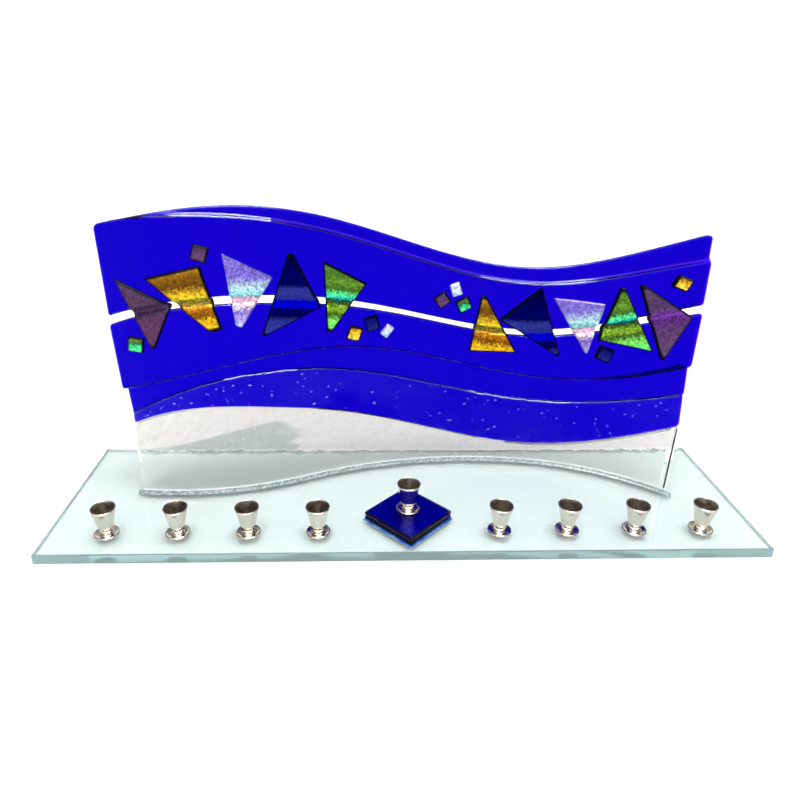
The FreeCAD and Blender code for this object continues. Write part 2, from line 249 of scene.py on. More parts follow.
def object_coordinates(nodes, links, scale=(1, 1, 1)):
    """Texture coordinates in metres, stretched by scale."""
    place = add(nodes, "ShaderNodeTexCoord")
    mapping = add(nodes, "ShaderNodeMapping")
    mapping.inputs["Scale"].default_value = scale
    links.new(place.outputs["Object"], mapping.inputs["Vector"])
    return mapping.outputs["Vector"]


def attribute(nodes, name, output="Fac"):
    """A value that is stored at each point of the mesh."""
    return add(nodes, "ShaderNodeAttribute", attribute_name=name).outputs[output]


def remap(nodes, links, value, to, source=(0.0, 1.0)):
    """A value moved from its source range to another, and held at the ends."""
    node = add(nodes, "ShaderNodeMapRange")
    node.inputs["From Min"].default_value = source[0]
    node.inputs["From Max"].default_value = source[1]
    node.inputs["To Min"].default_value = to[0]
    node.inputs["To Max"].default_value = to[1]
    links.new(value, node.inputs["Value"])
    return node.outputs["Result"]


def calculate(nodes, links, operation, *values):
    """The result of a sum on sockets or plain numbers."""
    node = add(nodes, "ShaderNodeMath", operation=operation)
    for socket, value in zip(node.inputs, values):
        if isinstance(value, float):
            socket.default_value = value
        else:
            links.new(value, socket)
    return node.outputs[0]


def noise_of(nodes, links, where, **values):
    """Smooth noise at a place, from 0 to 1."""
    node = add(nodes, "ShaderNodeTexNoise", **values)
    links.new(where, node.inputs["Vector"])
    return node.outputs["Fac"]


def ramp_of(nodes, links, value, stops):
    """The colour at a value, from (position, colour) stops."""
    ramp = add(nodes, "ShaderNodeValToRGB")
    elements = ramp.color_ramp.elements
    for i, (position, colour) in enumerate(stops):
        element = elements[i] if i < 2 else elements.new(position)
        element.position = position
        element.color = (*colour, 1)
    links.new(value, ramp.inputs["Fac"])
    return ramp.outputs["Color"]


def bump(nodes, links, height, strength, distance):
    """A normal that follows a height."""
    node = add(nodes, "ShaderNodeBump", Strength=strength, Distance=distance)
    links.new(height, node.inputs["Height"])
    return node.outputs["Normal"]


COBALT = (0.403, 0.0, 0.918)
TILE_TINT = 0.35
# Refractive index of glass, and of the places that light passes almost unbent.
GLASS_BEND = 1.5
BARE_BEND = 1.02


def glass(name, colour, density, tint=1.0, ripple=0.0, ripple_scale=60.0, stretch=(1, 1, 1),
          surface=(1, 1, 1), painted_toned=False):
    """Fire-polished glass that absorbs light along its depth, with a slow ripple on its surface.

    Where tint is below 1 only the places marked "edge" reflect fully, so highlights show only where
    they are marked: painted highlights. On the panel's sheets the places marked "bare" let light
    straight through, and a glass with a painted tone is coloured by "tone": painted reflection and
    shade.
    """
    material, nodes, links = new_material(name)
    shader = nodes["Principled BSDF"]
    shader.inputs["Base Color"].default_value = (*surface, 1)
    shader.inputs["Roughness"].default_value = 0.0
    shader.inputs["IOR"].default_value = GLASS_BEND
    shader.inputs["Transmission Weight"].default_value = 1.0
    if tint < 1:
        gleam = remap(nodes, links, attribute(nodes, "edge"), (tint, 1.0))
        links.new(gleam, shader.inputs["Specular Tint"])
    if tint < TILE_TINT:
        bend = remap(nodes, links, attribute(nodes, "bare"), (GLASS_BEND, BARE_BEND))
        links.new(bend, shader.inputs["IOR"])
    if painted_toned:
        links.new(attribute(nodes, "tone", "Color"), shader.inputs["Base Color"])
    depth = add(nodes, "ShaderNodeVolumeAbsorption", Color=(*colour, 1), Density=density)
    links.new(depth.outputs[0], nodes["Material Output"].inputs["Volume"])
    if ripple:
        where = object_coordinates(nodes, links, stretch)
        waves = noise_of(nodes, links, where, Scale=ripple_scale, Detail=3.0)
        links.new(bump(nodes, links, waves, 1.0, ripple), shader.inputs["Normal"])
    return material


# How far up a face looks where it is still polished, and where it is fully ground.
LEVEL_FACE = 0.98
UPRIGHT_FACE = 0.8
GROUND_ROUGHNESS = 0.35


def grind_edges(material, colour, haze):
    """Mix a soft, ground look into the upright faces of a glass, where its cut edges are."""
    nodes, links = material.node_tree.nodes, material.node_tree.links
    shader = nodes["Principled BSDF"]
    facing = add(nodes, "ShaderNodeNewGeometry")
    parts = add(nodes, "ShaderNodeSeparateXYZ")
    links.new(facing.outputs["Normal"], parts.inputs[0])
    level = calculate(nodes, links, "ABSOLUTE", parts.outputs["Z"])
    share = remap(nodes, links, level, (0.0, haze), (LEVEL_FACE, UPRIGHT_FACE))
    rough = calculate(nodes, links, "MULTIPLY", share, GROUND_ROUGHNESS)
    links.new(rough, shader.inputs["Roughness"])
    ground = add(nodes, "ShaderNodeBsdfDiffuse", Color=(*colour, 1))
    mixed = add(nodes, "ShaderNodeMixShader")
    links.new(share, mixed.inputs[0])
    links.new(shader.outputs[0], mixed.inputs[1])
    links.new(ground.outputs[0], mixed.inputs[2])
    links.new(mixed.outputs[0], nodes["Material Output"].inputs["Surface"])


RING_STRETCH = (60, 60, 4500)


def nickel(name, colour, roughness, patch=0.0):
    """Turned and plated metal: fine rings round the axis, and cloudy patches that are darker and
    rougher.
    """
    material, nodes, links = new_material(name)
    shader = nodes["Principled BSDF"]
    shader.inputs["Metallic"].default_value = 1.0
    cloud = noise_of(nodes, links, object_coordinates(nodes, links), Scale=420.0, Detail=4.0)
    patch_colour = [c * (1 - patch) for c in colour]
    shade = ramp_of(nodes, links, cloud, ((0.36, patch_colour), (0.62, colour)))
    links.new(shade, shader.inputs["Base Color"])
    spread = remap(nodes, links, cloud, (roughness, roughness * 2.2))
    links.new(spread, shader.inputs["Roughness"])
    stretched = object_coordinates(nodes, links, RING_STRETCH)
    rings = noise_of(nodes, links, stretched, Scale=1.0, Detail=2.0)
    links.new(bump(nodes, links, rings, 0.25, 0.00002), shader.inputs["Normal"])
    return material


RIM_BLACK = (0.002, 0.003, 0.006, 1)


def dichroic(name, stops, metallic=0.35, roughness=0.32, mottle=5.0, sparkle=0.4, cloud=0.45,
             level=1.1, shine=0.08):
    """Metal-coated glass: a colour by "band", its height in millimetres, with a black rim.

    Mottle shifts the bands by millimetres, sparkle paints glints, cloud paints darker patches as
    reflections of dark surroundings, and "rise" is 0 on the rim and 1 inside it.
    """
    material, nodes, links = new_material(name)
    shader = nodes["Principled BSDF"]
    shader.inputs["Metallic"].default_value = metallic
    shader.inputs["Roughness"].default_value = roughness
    shader.inputs["Specular IOR Level"].default_value = shine
    where = object_coordinates(nodes, links)
    grain = noise_of(nodes, links, where, Scale=800.0, Detail=2.0, Roughness=0.6)
    shift = remap(nodes, links, grain, (-mottle, mottle))
    moved = calculate(nodes, links, "ADD", attribute(nodes, "band"), shift)
    low, high = stops[0][0], stops[-1][0]
    scaled = remap(nodes, links, moved, (0.0, 1.0), (low, high))
    coating = ramp_of(nodes, links, scaled, [((h - low) / (high - low), srgb(c)) for h, c in stops])
    # Painted glints in the flecks, and painted reflection in the darker blotches.
    flecks = add(nodes, "ShaderNodeTexVoronoi", Scale=2600.0)
    links.new(where, flecks.inputs["Vector"])
    sparkles = (level * (1.0 - sparkle), level * (1.0 + sparkle))
    glow = remap(nodes, links, flecks.outputs["Color"], sparkles)
    blotches = noise_of(nodes, links, where, Scale=620.0, Detail=2.0, Roughness=0.6)
    shade = remap(nodes, links, blotches, (1.0 - cloud, 1.0 + cloud * 0.45), (0.38, 0.60))
    lit = add(nodes, "ShaderNodeVectorMath", operation="SCALE")
    links.new(coating, lit.inputs[0])
    links.new(calculate(nodes, links, "MULTIPLY", glow, shade), lit.inputs["Scale"])
    rim = add(nodes, "ShaderNodeMix", data_type="RGBA")
    links.new(attribute(nodes, "rise"), rim.inputs["Factor"])
    rim_inputs = [s for s in rim.inputs if s.type == "RGBA"]
    rim_inputs[0].default_value = RIM_BLACK
    links.new(lit.outputs[0], rim_inputs[1])
    rim_output = next(s for s in rim.outputs if s.type == "RGBA")
    links.new(rim_output, shader.inputs["Base Color"])
    links.new(bump(nodes, links, grain, 0.6, 0.0003), shader.inputs["Normal"])
    return material


PLATE_GLASS = glass("plate_glass_look", (0.3, 0.78, 0.76), 8.0, surface=(0.80, 0.84, 0.832))
grind_edges(PLATE_GLASS, (0.48, 0.68, 0.68), 0.38)
CLEAR_GLASS = glass("clear_glass_look", (0.14, 0.16, 0.12), 1.5, tint=0.02, ripple=0.00012,
                    ripple_scale=50.0)
# The clear foot's glass takes a painted tone: painted reflection and shade.
PAINTED_REFLECTION_GLASS = glass("painted_reflection_glass_look", (0.14, 0.16, 0.12), 1.5, tint=0.02, ripple=0.00016,
                     ripple_scale=60.0, stretch=(1, 1, 3), painted_toned=True)
COBALT_GLASS = glass("cobalt_glass_look", COBALT, 2900.0, tint=0.02, ripple=0.0002,
                     ripple_scale=40.0)
TILE_GLASS = glass("tile_glass_look", COBALT, 850.0, tint=TILE_TINT, ripple=0.0002,
                   ripple_scale=60.0)
NICKEL_OUTSIDE = nickel("nickel_outside_look", (0.66, 0.61, 0.54), 0.06, 0.05)
# The inside of the bowls is a darker, patchier copy of the nickel: painted shade.
NICKEL_INSIDE_PAINTED_SHADE = nickel("nickel_inside_painted_shade_look", (0.44, 0.38, 0.32), 0.2, 0.45)

# Colours of each kind of chip by height over the middle of the gap, in millimetres: the coatings' own
# colours, with painted light and shade in bands, the glow of light through the clear gap and the dark
# and bright bands where a chip bends into it.
TRIANGLE_STOPS_WITH_PAINTED_LIGHT = {
    "gold": (
        (-16, (225, 185, 30)), (-10, (215, 165, 20)), (-7.5, (95, 55, 6)), (-4, (170, 100, 10)),
        (-1.5, (190, 150, 40)), (0.3, (50, 62, 38)), (2, (170, 170, 50)), (4, (225, 190, 35)),
        (7, (185, 140, 28)), (10, (95, 60, 8)), (15, (120, 80, 12)), (19, (170, 120, 20)),
    ),
    "green": (
        (-16, (110, 230, 115)), (-11, (120, 215, 90)), (-7, (45, 65, 15)), (-3, (130, 180, 45)),
        (-0.5, (70, 95, 30)), (1, (12, 50, 52)), (3, (0, 185, 185)), (5.5, (90, 225, 130)),
        (8, (52, 92, 26)), (13, (96, 140, 40)), (17, (60, 100, 32)), (22, (88, 135, 48)),
    ),
    "lilac": (
        (-15, (180, 190, 225)), (-10, (165, 150, 215)), (-6, (115, 80, 190)), (-3.5, (215, 205, 205)),
        (-1.5, (235, 190, 215)), (1, (235, 185, 210)), (2.2, (70, 170, 190)), (3.5, (140, 215, 220)),
        (8, (170, 195, 215)), (13, (115, 100, 195)), (22, (120, 105, 200)),
    ),
    "purple": (
        (-25, (100, 65, 110)), (-9, (112, 66, 116)), (-3, (92, 60, 104)), (0, (78, 56, 96)),
        (6, (104, 70, 104)), (22, (88, 66, 104)),
    ),
    "violet": (
        (-25, (105, 75, 120)), (-9, (98, 62, 112)), (-3, (96, 50, 128)), (1, (150, 75, 205)),
        (4, (104, 60, 130)), (8, (84, 60, 100)), (22, (98, 72, 110)),
    ),
    "navy": (
        (-19, (58, 64, 175)), (-12, (50, 56, 165)), (-9, (0, 0, 90)), (-5, (0, 0, 110)),
        (-3.4, (0, 0, 250)), (-0.8, (0, 0, 245)), (0.6, (56, 64, 172)), (7, (50, 58, 162)),
        (9, (4, 4, 100)), (16, (0, 0, 105)), (26, (0, 0, 66)),
    ),
}
# The same for the squares, by height over a chip's own middle.
SQUARE_STOPS = {
    "gold": ((-5, (240, 215, 80)), (0, (235, 196, 50)), (2.2, (180, 116, 20)), (5, (120, 80, 20))),
    "green": (
        (-5, (110, 240, 150)), (-1, (50, 205, 135)), (1, (18, 100, 50)), (3, (105, 98, 40)),
        (5, (120, 170, 60)),
    ),
    "lilac": ((-5, (195, 235, 235)), (0, (190, 205, 235)), (5, (198, 188, 240))),
    "purple": ((-5, (122, 84, 132)), (5, (92, 60, 106))),
    "navy": ((-5, (48, 56, 150)), (0, (30, 34, 140)), (5, (6, 6, 104))),
}


PURPLE_LEVELS = {"purple": 0.66, "violet": 0.85}


def chip_look(kind, colour, stops):
    """Navy chips are smooth tinted glass, and the others are mottled metal coatings."""
    name = f"{kind}_{colour}_look"
    if colour == "navy":
        return dichroic(name, stops, metallic=0.0, roughness=0.12, mottle=1.5, sparkle=0.1,
                        cloud=0.25, level=0.7, shine=0.0)
    if colour in PURPLE_LEVELS:
        return dichroic(name, stops, metallic=0.3, roughness=0.35, cloud=0.35,
                        level=PURPLE_LEVELS[colour])
    return dichroic(name, stops)


CHIP_LOOKS = {("triangle", c): chip_look("triangle", c, s) for c, s in TRIANGLE_STOPS_WITH_PAINTED_LIGHT.items()}
CHIP_LOOKS.update({("square", c): chip_look("square", c, s) for c, s in SQUARE_STOPS.items()})
BRIGHT_PURPLE = "triangle_10_purple"


def plain(name, colour, roughness, speckle, scale):
    """A soft-looking material that is mottled between a colour and a speckle."""
    material, nodes, links = new_material(name)
    shader = nodes["Principled BSDF"]
    shader.inputs["Roughness"].default_value = roughness
    where = object_coordinates(nodes, links)
    grain = noise_of(nodes, links, where, Scale=scale, Detail=3.0, Roughness=0.7)
    mottled = ramp_of(nodes, links, grain, ((0.42, srgb(colour)), (0.62, srgb(speckle))))
    links.new(mottled, shader.inputs["Base Color"])
    return material


BEAD_FILM = plain("bead_film_look", (112, 138, 140), 0.25, (196, 210, 208), 700.0)
# Near white: a painted highlight of the panel's lower front edge.
BEAD_PAINTED_HIGHLIGHT = plain("bead_painted_highlight_look", (222, 232, 230), 0.2, (252, 253, 252), 500.0)
# Bright blue: painted light along the tile's foot.
TILE_BEAD_PAINTED_LIGHT = plain("tile_bead_painted_light_look", (40, 110, 220), 0.2, (120, 180, 240), 400.0)
CUP_GLUE = plain("cup_glue_look", (120, 160, 145), 0.3, (190, 215, 205), 500.0)
# Pale colours of the bubbles: painted glints.
BUBBLE_GLINT_ON_BLUE = plain("bubble_painted_glint_on_blue_look", (120, 122, 228), 0.2, (175, 180, 242), 900.0)
# Pale colours of the painted highlights along the seam.
SEAM_PAINTED_HIGHLIGHT = plain("seam_painted_highlight_look", (215, 218, 248), 0.2, (150, 150, 235), 500.0)
BUBBLE_GLINT_ON_CLEAR = plain("bubble_painted_glint_on_clear_look", (225, 233, 230), 0.2, (250, 252, 250), 900.0)

# --- sheets of the panel ----------------------------------------------------------------------

CAP_STEPS = 5
EDGE_ROUND = 1.2
CORNER_MAX = 3.0
COLUMN_SPACING = 2.2
TOP_TRIM = 0.06
PLAIN_ROWS = 14
# The step where the upper blue sheet sags over the clear sheet's top edge.
SLUMP = 2.4
SLUMP_HEIGHT = 3.5
SLUMP_FADE = (1.0, 4.0)
STEP_ROWS = (12, 22, 5)
STEP_LIMITS = (0.86, 0.97)
# Painted highlights: two lines on the step marked to reflect fully, as (share of the step's height,
# width).
STEP_HIGHLIGHT_LINES = ((0.29, 0.09), (0.71, 0.07))
# The ends that light passes plainly, but for a thin line on the clear foot's right end.
END_LINE = 0.2
END_REACH = 1.8
END_EASE = 0.3
LINE_EASE = 0.25
# Where the seam over the clear foot shows dark, in x.
DARK_FOOT = (-60, 55)
DARK_EASE = 10
RIM_EASE = 0.4
# Painted reflection and shade in the clear foot's tone: under a curved line, where the plate's front
# edge is reflected, it is darker, aqua, and rosy to the right of a wispy border. Below the line where
# the plate's back edge shows through, the painted tone fades.
REFLECTED_EDGE_BAND = 0.25
REFLECTED_EDGE_ROWS = (44, 1, 14)
REFLECTED_EDGE_LIMITS = (0.96, 0.98)
TONE_STREAKS = 0.22
TONE_ABOVE_REFLECTED_EDGE = (0.69, 0.685, 0.665)
PAINTED_ROSY_TONE = (0.69, 0.68, 0.68)
PAINTED_AQUA_TONE = (0.45, 0.50, 0.47)
TONE_UNDER_PLATE_LINE = (1.0, 1.0, 0.98)
ROSY_FROM = -70
ROSY_WISP = 18
ROSY_LEAN = 0.5
ROSY_SPREAD = 9
PLATE_LINE = 29.0
PLATE_LINE_FALL = 0.58
PLATE_LINE_EASE = (0.5, 2.4)


def quarter(radius, steps):
    """Distances from an edge at even turns round a quarter circle of this radius."""
    return [radius * (1 - math.cos(math.pi / 2 * i / steps)) for i in range(steps + 1)]


def column_shares(width):
    """Places across a sheet from 0 to 1, close together at its ends, where it is rounded."""
    near = sorted(set(quarter(GLASS / 2, CAP_STEPS) + quarter(CORNER_MAX, CAP_STEPS)))
    count = int((width - 2 * near[-1]) / COLUMN_SPACING)
    inner = [mix(near[-1], width - near[-1], i / count) for i in range(1, count)]
    places = near + inner + [width - d for d in reversed(near)]
    return [d / width for d in places]


def drop_at(distance, radius):
    """How far a rounded outline has fallen back at this distance from its end."""
    if distance >= radius:
        return 0.0
    return radius - math.sqrt(max(radius ** 2 - (radius - distance) ** 2, 0.0))


def row_breaks(node, x, low, high):
    """Where a sheet's rows crowd together, each as (share of its height, rows up to it)."""
    if node == "upper_blue_sheet":
        line = WAVE["clear_top"](x)
        lines, limits, rows = (line, line + SLUMP_HEIGHT), STEP_LIMITS, STEP_ROWS
    elif node == "foot_clear_sheet":
        line = WAVE["reflected_plate_edge"](x)
        lines, limits, rows = (line - REFLECTED_EDGE_BAND, line + REFLECTED_EDGE_BAND), REFLECTED_EDGE_LIMITS, REFLECTED_EDGE_ROWS
    else:
        return [(1.0, PLAIN_ROWS)]
    shares = [min((at - low) / (high - low), limit) for at, limit in zip(lines, limits)]
    return list(zip(shares + [1.0], rows))


def row_shares(breaks):
    """Places up a sheet from 0 to 1. Each break is (share, rows up to it)."""
    shares = [0.0]
    for share, rows in breaks:
        start = shares[-1]
        shares += [mix(start, share, (i + 1) / rows) for i in range(rows)]
    return shares


def slump(x, height, top):
    """How far back the upper blue sheet has sagged over the clear sheet's top edge."""
    step = WAVE["clear_top"](x)
    depth = SLUMP * smooth((top - step - SLUMP_FADE[0]) / SLUMP_FADE[1])
    return depth * smooth((height - step) / SLUMP_HEIGHT)


def bare_rim(node, x, height, low, high):
    """How plainly light passes the seam where the lower blue sheet meets the clear foot."""
    from_seam = {"lower_blue_sheet": height - low, "foot_clear_sheet": high - height}
    near = from_seam.get(node, EDGE_ROUND)
    dark = smooth((x - DARK_FOOT[0]) / DARK_EASE) * smooth((DARK_FOOT[1] - x) / DARK_EASE)
    return smooth((EDGE_ROUND - near) / RIM_EASE) * (1 - dark)


def step_painted_highlight(x, height, top):
    """Painted highlights: two narrow places on the step, where its slope starts and where it eases,
    marked to reflect fully.
    """
    share = (height - WAVE["clear_top"](x)) / SLUMP_HEIGHT
    lines = [math.exp(-((share - middle) / width) ** 2) for middle, width in STEP_HIGHLIGHT_LINES]
    return max(lines) * smooth(slump(x, height + SLUMP_HEIGHT, top) / SLUMP * 2)


def painted_reflection_tone(x, height):
    """The painted tone of the clear foot: streaked pale grey over the line of the plate's reflected
    edge, and painted reflection and shade under it, aqua and rosy.
    """
    wisp = noise.noise(Vector((x * 0.08, height * 0.22, 3.0)))
    streak = abs(noise.noise(Vector((x * 0.22, height * 0.9, 7.0))))
    haze = 1 - TONE_STREAKS * streak
    if height > WAVE["reflected_plate_edge"](x):
        return tuple(c * haze for c in TONE_ABOVE_REFLECTED_EDGE)
    above_plate = height - PLATE_LINE + PLATE_LINE_FALL * plan_y(x, 0)
    rosy = smooth((x - ROSY_FROM + ROSY_WISP * wisp + ROSY_LEAN * above_plate) / ROSY_SPREAD)
    low = smooth((PLATE_LINE_EASE[0] - above_plate) / PLATE_LINE_EASE[1])
    tone = []
    for aqua, rose, deep in zip(PAINTED_AQUA_TONE, PAINTED_ROSY_TONE, TONE_UNDER_PLATE_LINE):
        tone.append(mix(mix(aqua, rose, rosy) * haze, deep, low))
    return tuple(tone)


def sheet_column(node, share, width):
    """One closed loop of a sheet, each place as (point, gleam, bareness, painted tone)."""
    top, foot, layer, left, right, corners = SHEETS[node]
    top_lap, foot_lap = LAPS.get(node, (0, 0))
    distance = min(share, 1 - share) * width
    x_top = mix(left[0], right[0], share)
    x_foot = mix(left[1], right[1], share)
    high = WAVE[top](x_top) + top_lap - TOP_TRIM - drop_at(distance, corners[0])
    low = WAVE[foot](x_foot) + foot_lap + drop_at(distance, corners[1])
    thin = 1 - drop_at(distance, GLASS / 2) / (GLASS / 2)
    half = (GLASS / 2 - AIR / 2) * thin
    turns = [math.pi / 2 * i / CAP_STEPS for i in range(CAP_STEPS)]
    cap = [(-half * math.sin(a) ** 0.8, EDGE_ROUND * (1 - math.cos(a)), 1 - i / CAP_STEPS)
           for i, a in enumerate(turns)]
    foot_shine, top_shine = float(foot != "blue_foot"), float(top != "blue_foot")
    front = [(offset, low + rise, gleam * foot_shine) for offset, rise, gleam in cap]
    first, last = low + EDGE_ROUND, high - EDGE_ROUND
    front += [(-half, mix(first, last, s), 0.0)
              for s in row_shares(row_breaks(node, x_top, first, last))]
    front += [(offset, high - rise, gleam * top_shine) for offset, rise, gleam in reversed(cap)]
    loop = front + [(-offset, height, gleam) for offset, height, gleam in reversed(front[1:-1])]
    end = smooth((END_REACH - distance) / END_EASE)
    if share > 0.5 and node == "foot_clear_sheet":
        end *= smooth((distance - END_LINE) / LINE_EASE)
    places = []
    for offset, height, gleam in loop:
        x = mix(x_foot, x_top, (height - low) / (high - low))
        shift = 0.0
        if node == "upper_blue_sheet":
            shift = slump(x, height, high)
            gleam = max(gleam, step_painted_highlight(x, height, high))
        point = on_panel(x, height, layer + GLASS / 2 + offset + shift)
        tone = painted_reflection_tone(x, height) if node == "foot_clear_sheet" else (1, 1, 1)
        rim = bare_rim(node, x, height, low, high)
        places.append((point, smooth(gleam * 2), max(end, rim), (*tone, 1)))
    return places


def panel_sheet(node, material):
    """One rounded glass sheet that follows the panel's curve between two waves."""
    left, right = SHEETS[node][3:5]
    width = right[0] - left[0]
    columns = [sheet_column(node, share, width) for share in column_shares(width)]
    places = [place for column in columns for place in column]
    points, edge, bare, tone = zip(*places)
    faces = ring_faces(len(columns), len(columns[0]))
    attributes = {"edge": edge, "bare": bare}
    if node == "foot_clear_sheet":
        attributes["tone"] = tone
    name = node.replace("_sheet", "_glass")
    return make_piece(name, points, faces, [material], attributes=attributes)


def panel():
    """All six sheets of the panel."""
    for node in SHEETS:
        if "blue" in node:
            settle(panel_sheet(node, COBALT_GLASS), "cobalt_glass", node)
        elif node == "foot_clear_sheet":
            settle(panel_sheet(node, PAINTED_REFLECTION_GLASS), "clear_glass", node)
        else:
            settle(panel_sheet(node, CLEAR_GLASS), "clear_glass", node)


# --- bubbles and the bead at the panel's foot -------------------------------------------------

BUBBLE_TURNS = 8
BUBBLE_RINGS = 5
BUBBLE_SPAN = (-152, 156)
BUBBLE_MARGIN = 2.5
# Spans in x where painted highlights lie along the front clear sheet's top edge.
SEAM_HIGHLIGHT_SPANS = ((-104, -64), (44, 104))
SEAM_HIGHLIGHT_RADIUS = 0.35
# The bead across its length, as (offset, height over the plate). The first few faces round it
# are speckled, and the rest are near white: a painted highlight of the panel's lower front edge.
BEAD_SECTION = (
    (-2.3, 0.0), (-2.05, 0.35), (-1.5, 0.75), (-1.0, 1.25), (-0.6, 1.75), (-0.35, 2.1),
    (-0.12, 2.4), (-0.03, 2.45), (-0.01, 1.2), (0.0, 0.2), (6.0, 0.2), (6.0, 0.0),
)
BEAD_SPECKLED = 5
BEAD_SPACING = 1.5


def bubble(x, height, radius, stretch, slope, points, faces):
    """One flattened blister on the panel's front, added to the points and faces."""
    start = len(points)
    for ring in range(BUBBLE_RINGS):
        lift = math.pi / 2 * ring / (BUBBLE_RINGS - 1)
        for turn in range(BUBBLE_TURNS):
            angle = 2 * math.pi * turn / BUBBLE_TURNS
            across = radius * stretch * math.cos(lift) * math.cos(angle)
            up = radius * math.cos(lift) * math.sin(angle) + slope * across
            points.append(on_panel(x + across, height + up, -0.5 * radius * math.sin(lift)))
    own_faces = solid_faces(BUBBLE_RINGS, BUBBLE_TURNS)
    faces += [tuple(start + i for i in face) for face in own_faces]


def bubbles(name, count, material, foot, top, draw):
    """Small bubbles that surfaced on the panel between two waves, coloured pale: their glint is
    painted.
    """
    points, faces = [], []
    for _ in range(count):
        x = draw.uniform(*BUBBLE_SPAN)
        low, high = WAVE[foot](x) + BUBBLE_MARGIN, WAVE[top](x) - BUBBLE_MARGIN
        height = draw.uniform(low, max(high, low + 0.5))
        radius, stretch = draw.uniform(0.18, 0.4), draw.uniform(1.0, 2.6)
        bubble(x, height, radius, stretch, draw.uniform(-0.3, 0.3), points, faces)
    settle(make_piece(name, points, faces, [material]), "clear_glass")


def seam_painted_highlights(draw):
    """Painted highlights along the front clear sheet's top edge: long, pale, bubble-shaped blisters.
    """
    points, faces = [], []
    line = WAVE["front_clear_top"]
    for first, last in SEAM_HIGHLIGHT_SPANS:
        x = first
        while x < last:
            slope = (line(x + 1) - line(x - 1)) / 2
            half_length = draw.uniform(1.5, 3.2)
            height = line(x) + draw.uniform(-0.7, 0.1)
            radius = draw.uniform(0.28, 0.42)
            bubble(x, height, radius, half_length / SEAM_HIGHLIGHT_RADIUS, slope, points, faces)
            x += half_length * draw.uniform(1.1, 2.2)
    settle(make_piece("seam_painted_highlights", points, faces, [SEAM_PAINTED_HIGHLIGHT]), "clear_glass")


def panel_bead():
    """The squeezed-out adhesive along the panel's foot: a speckled film, and a fillet coloured near
    white as a painted highlight of the panel's lower front edge.
    """
    left, right = SHEETS["front_clear_sheet"][3][1], SHEETS["front_clear_sheet"][4][1]
    count = int((right - left) / BEAD_SPACING)
    rise = PLATE_TOP - PANEL_BASE
    points = [
        on_panel(mix(left, right, i / count), rise + height, offset)
        for i in range(count + 1)
        for offset, height in BEAD_SECTION
    ]
    size = len(BEAD_SECTION)
    faces = solid_faces(count + 1, size)
    kinds = [0 if i < BEAD_SPECKLED else 1 for _ in range(count) for i in range(size)] + [1, 1]
    piece = make_piece("panel_adhesive_bead", points, faces, [BEAD_FILM, BEAD_PAINTED_HIGHLIGHT], kinds)
    settle(piece, "adhesive", "panel_adhesive")


# --- chips on the panel -----------------------------------------------------------------------

CHIP_RISE = 1.55
CHIP_ROUND = 1.3
CHIP_SINK = 0.3
CHIP_SPACING = 1.0
CHIP_RING = 0.8
DIP_DEPTH = 2.6
CORNER_CUT = 0.9
CORNER_SHARE = 0.4
TRIANGLE_SPREAD = 0.45
STRAIGHT_TURN = math.radians(3)
RIM_WIDTH = 0.85
RIM_FADE = 0.35
CHIP_INSETS = [0.0, 0.1, 0.3, 0.6, 0.8, 1.0, CHIP_ROUND]
CORNER_STEPS = 4
DIP_FLAT = 0.2
DIP_EASE = 0.9
CENTRE_ROUNDS = 60
CENTRE_STEP = 0.15


def chip_outline(node):
    """A chip's corners from the front, in millimetres, from the hull of its CAD mesh."""
    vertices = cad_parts[node].data.vertices
    spots = sorted({(round(v.co.x / MM, 2), round(v.co.z / MM - PANEL_BASE, 2)) for v in vertices})
    spots = [Vector(s) for s in spots]
    hull = [spots[i] for i in convex_hull_2d(spots)]
    corners = []
    for before, here, after in zip(hull[-1:] + hull[:-1], hull, hull[1:] + hull[:1]):
        if (here - before).angle(after - here) > STRAIGHT_TURN:
            corners.append(here)
    return corners


def rounded_outline(corners, spacing):
    """The outline with its corners eased, as evenly spaced points."""
    outline = []
    count = len(corners)
    for i, here in enumerate(corners):
        before = corners[i - 1] - here
        after = corners[(i + 1) % count] - here
        cut_in = min(CORNER_CUT, before.length * CORNER_SHARE)
        cut_out = min(CORNER_CUT, after.length * CORNER_SHARE)
        start = here + before.normalized() * cut_in
        end = here + after.normalized() * cut_out
        for step in range(CORNER_STEPS + 1):
            t = step / CORNER_STEPS
            outline.append(start * (1 - t) ** 2 + here * 2 * t * (1 - t) + end * t ** 2)
        stop = here + after - after.normalized() * cut_out
        steps = max(int((stop - end).length / spacing), 1)
        outline += [end.lerp(stop, s / steps) for s in range(1, steps)]
    return outline


def incentre(corners):
    """A centre that is about as far from every side, and that distance."""
    count = len(corners)
    lengths = [(corners[(i + 1) % count] - corners[i]).length for i in range(count)]
    centre = sum(((corners[i] + corners[(i + 1) % count]) / 2 * lengths[i] for i in range(count)),
                 Vector((0, 0))) / sum(lengths)
    for _ in range(CENTRE_ROUNDS):
        gaps = [side_gap(centre, corners, i) for i in range(count)]
        nearest = min(range(count), key=lambda i: gaps[i][0])
        centre = centre + gaps[nearest][1] * CENTRE_STEP
    return centre, min(g[0] for g in [side_gap(centre, corners, i) for i in range(count)])


def side_gap(point, corners, i):
    """Distance from a point to side i and the direction away from that side."""
    start, end = corners[i], corners[(i + 1) % len(corners)]
    along = (end - start).normalized()
    away = Vector((-along.y, along.x))
    gap = (point - start).dot(away)
    return (abs(gap), away if gap > 0 else -away)


def gap_centre(x):
    """The height of the middle of the gap between the blue sheets."""
    return (WAVE["gap_upper"](x) + WAVE["gap_lower"](x)) / 2


def dip(x, height):
    """How far a chip has sagged into the gap between the blue sheets."""
    half = (WAVE["gap_upper"](x) - WAVE["gap_lower"](x)) / 2
    away = abs(height - gap_centre(x)) - half * DIP_FLAT
    return DIP_DEPTH * (1 - smooth(away / (half + DIP_EASE)))


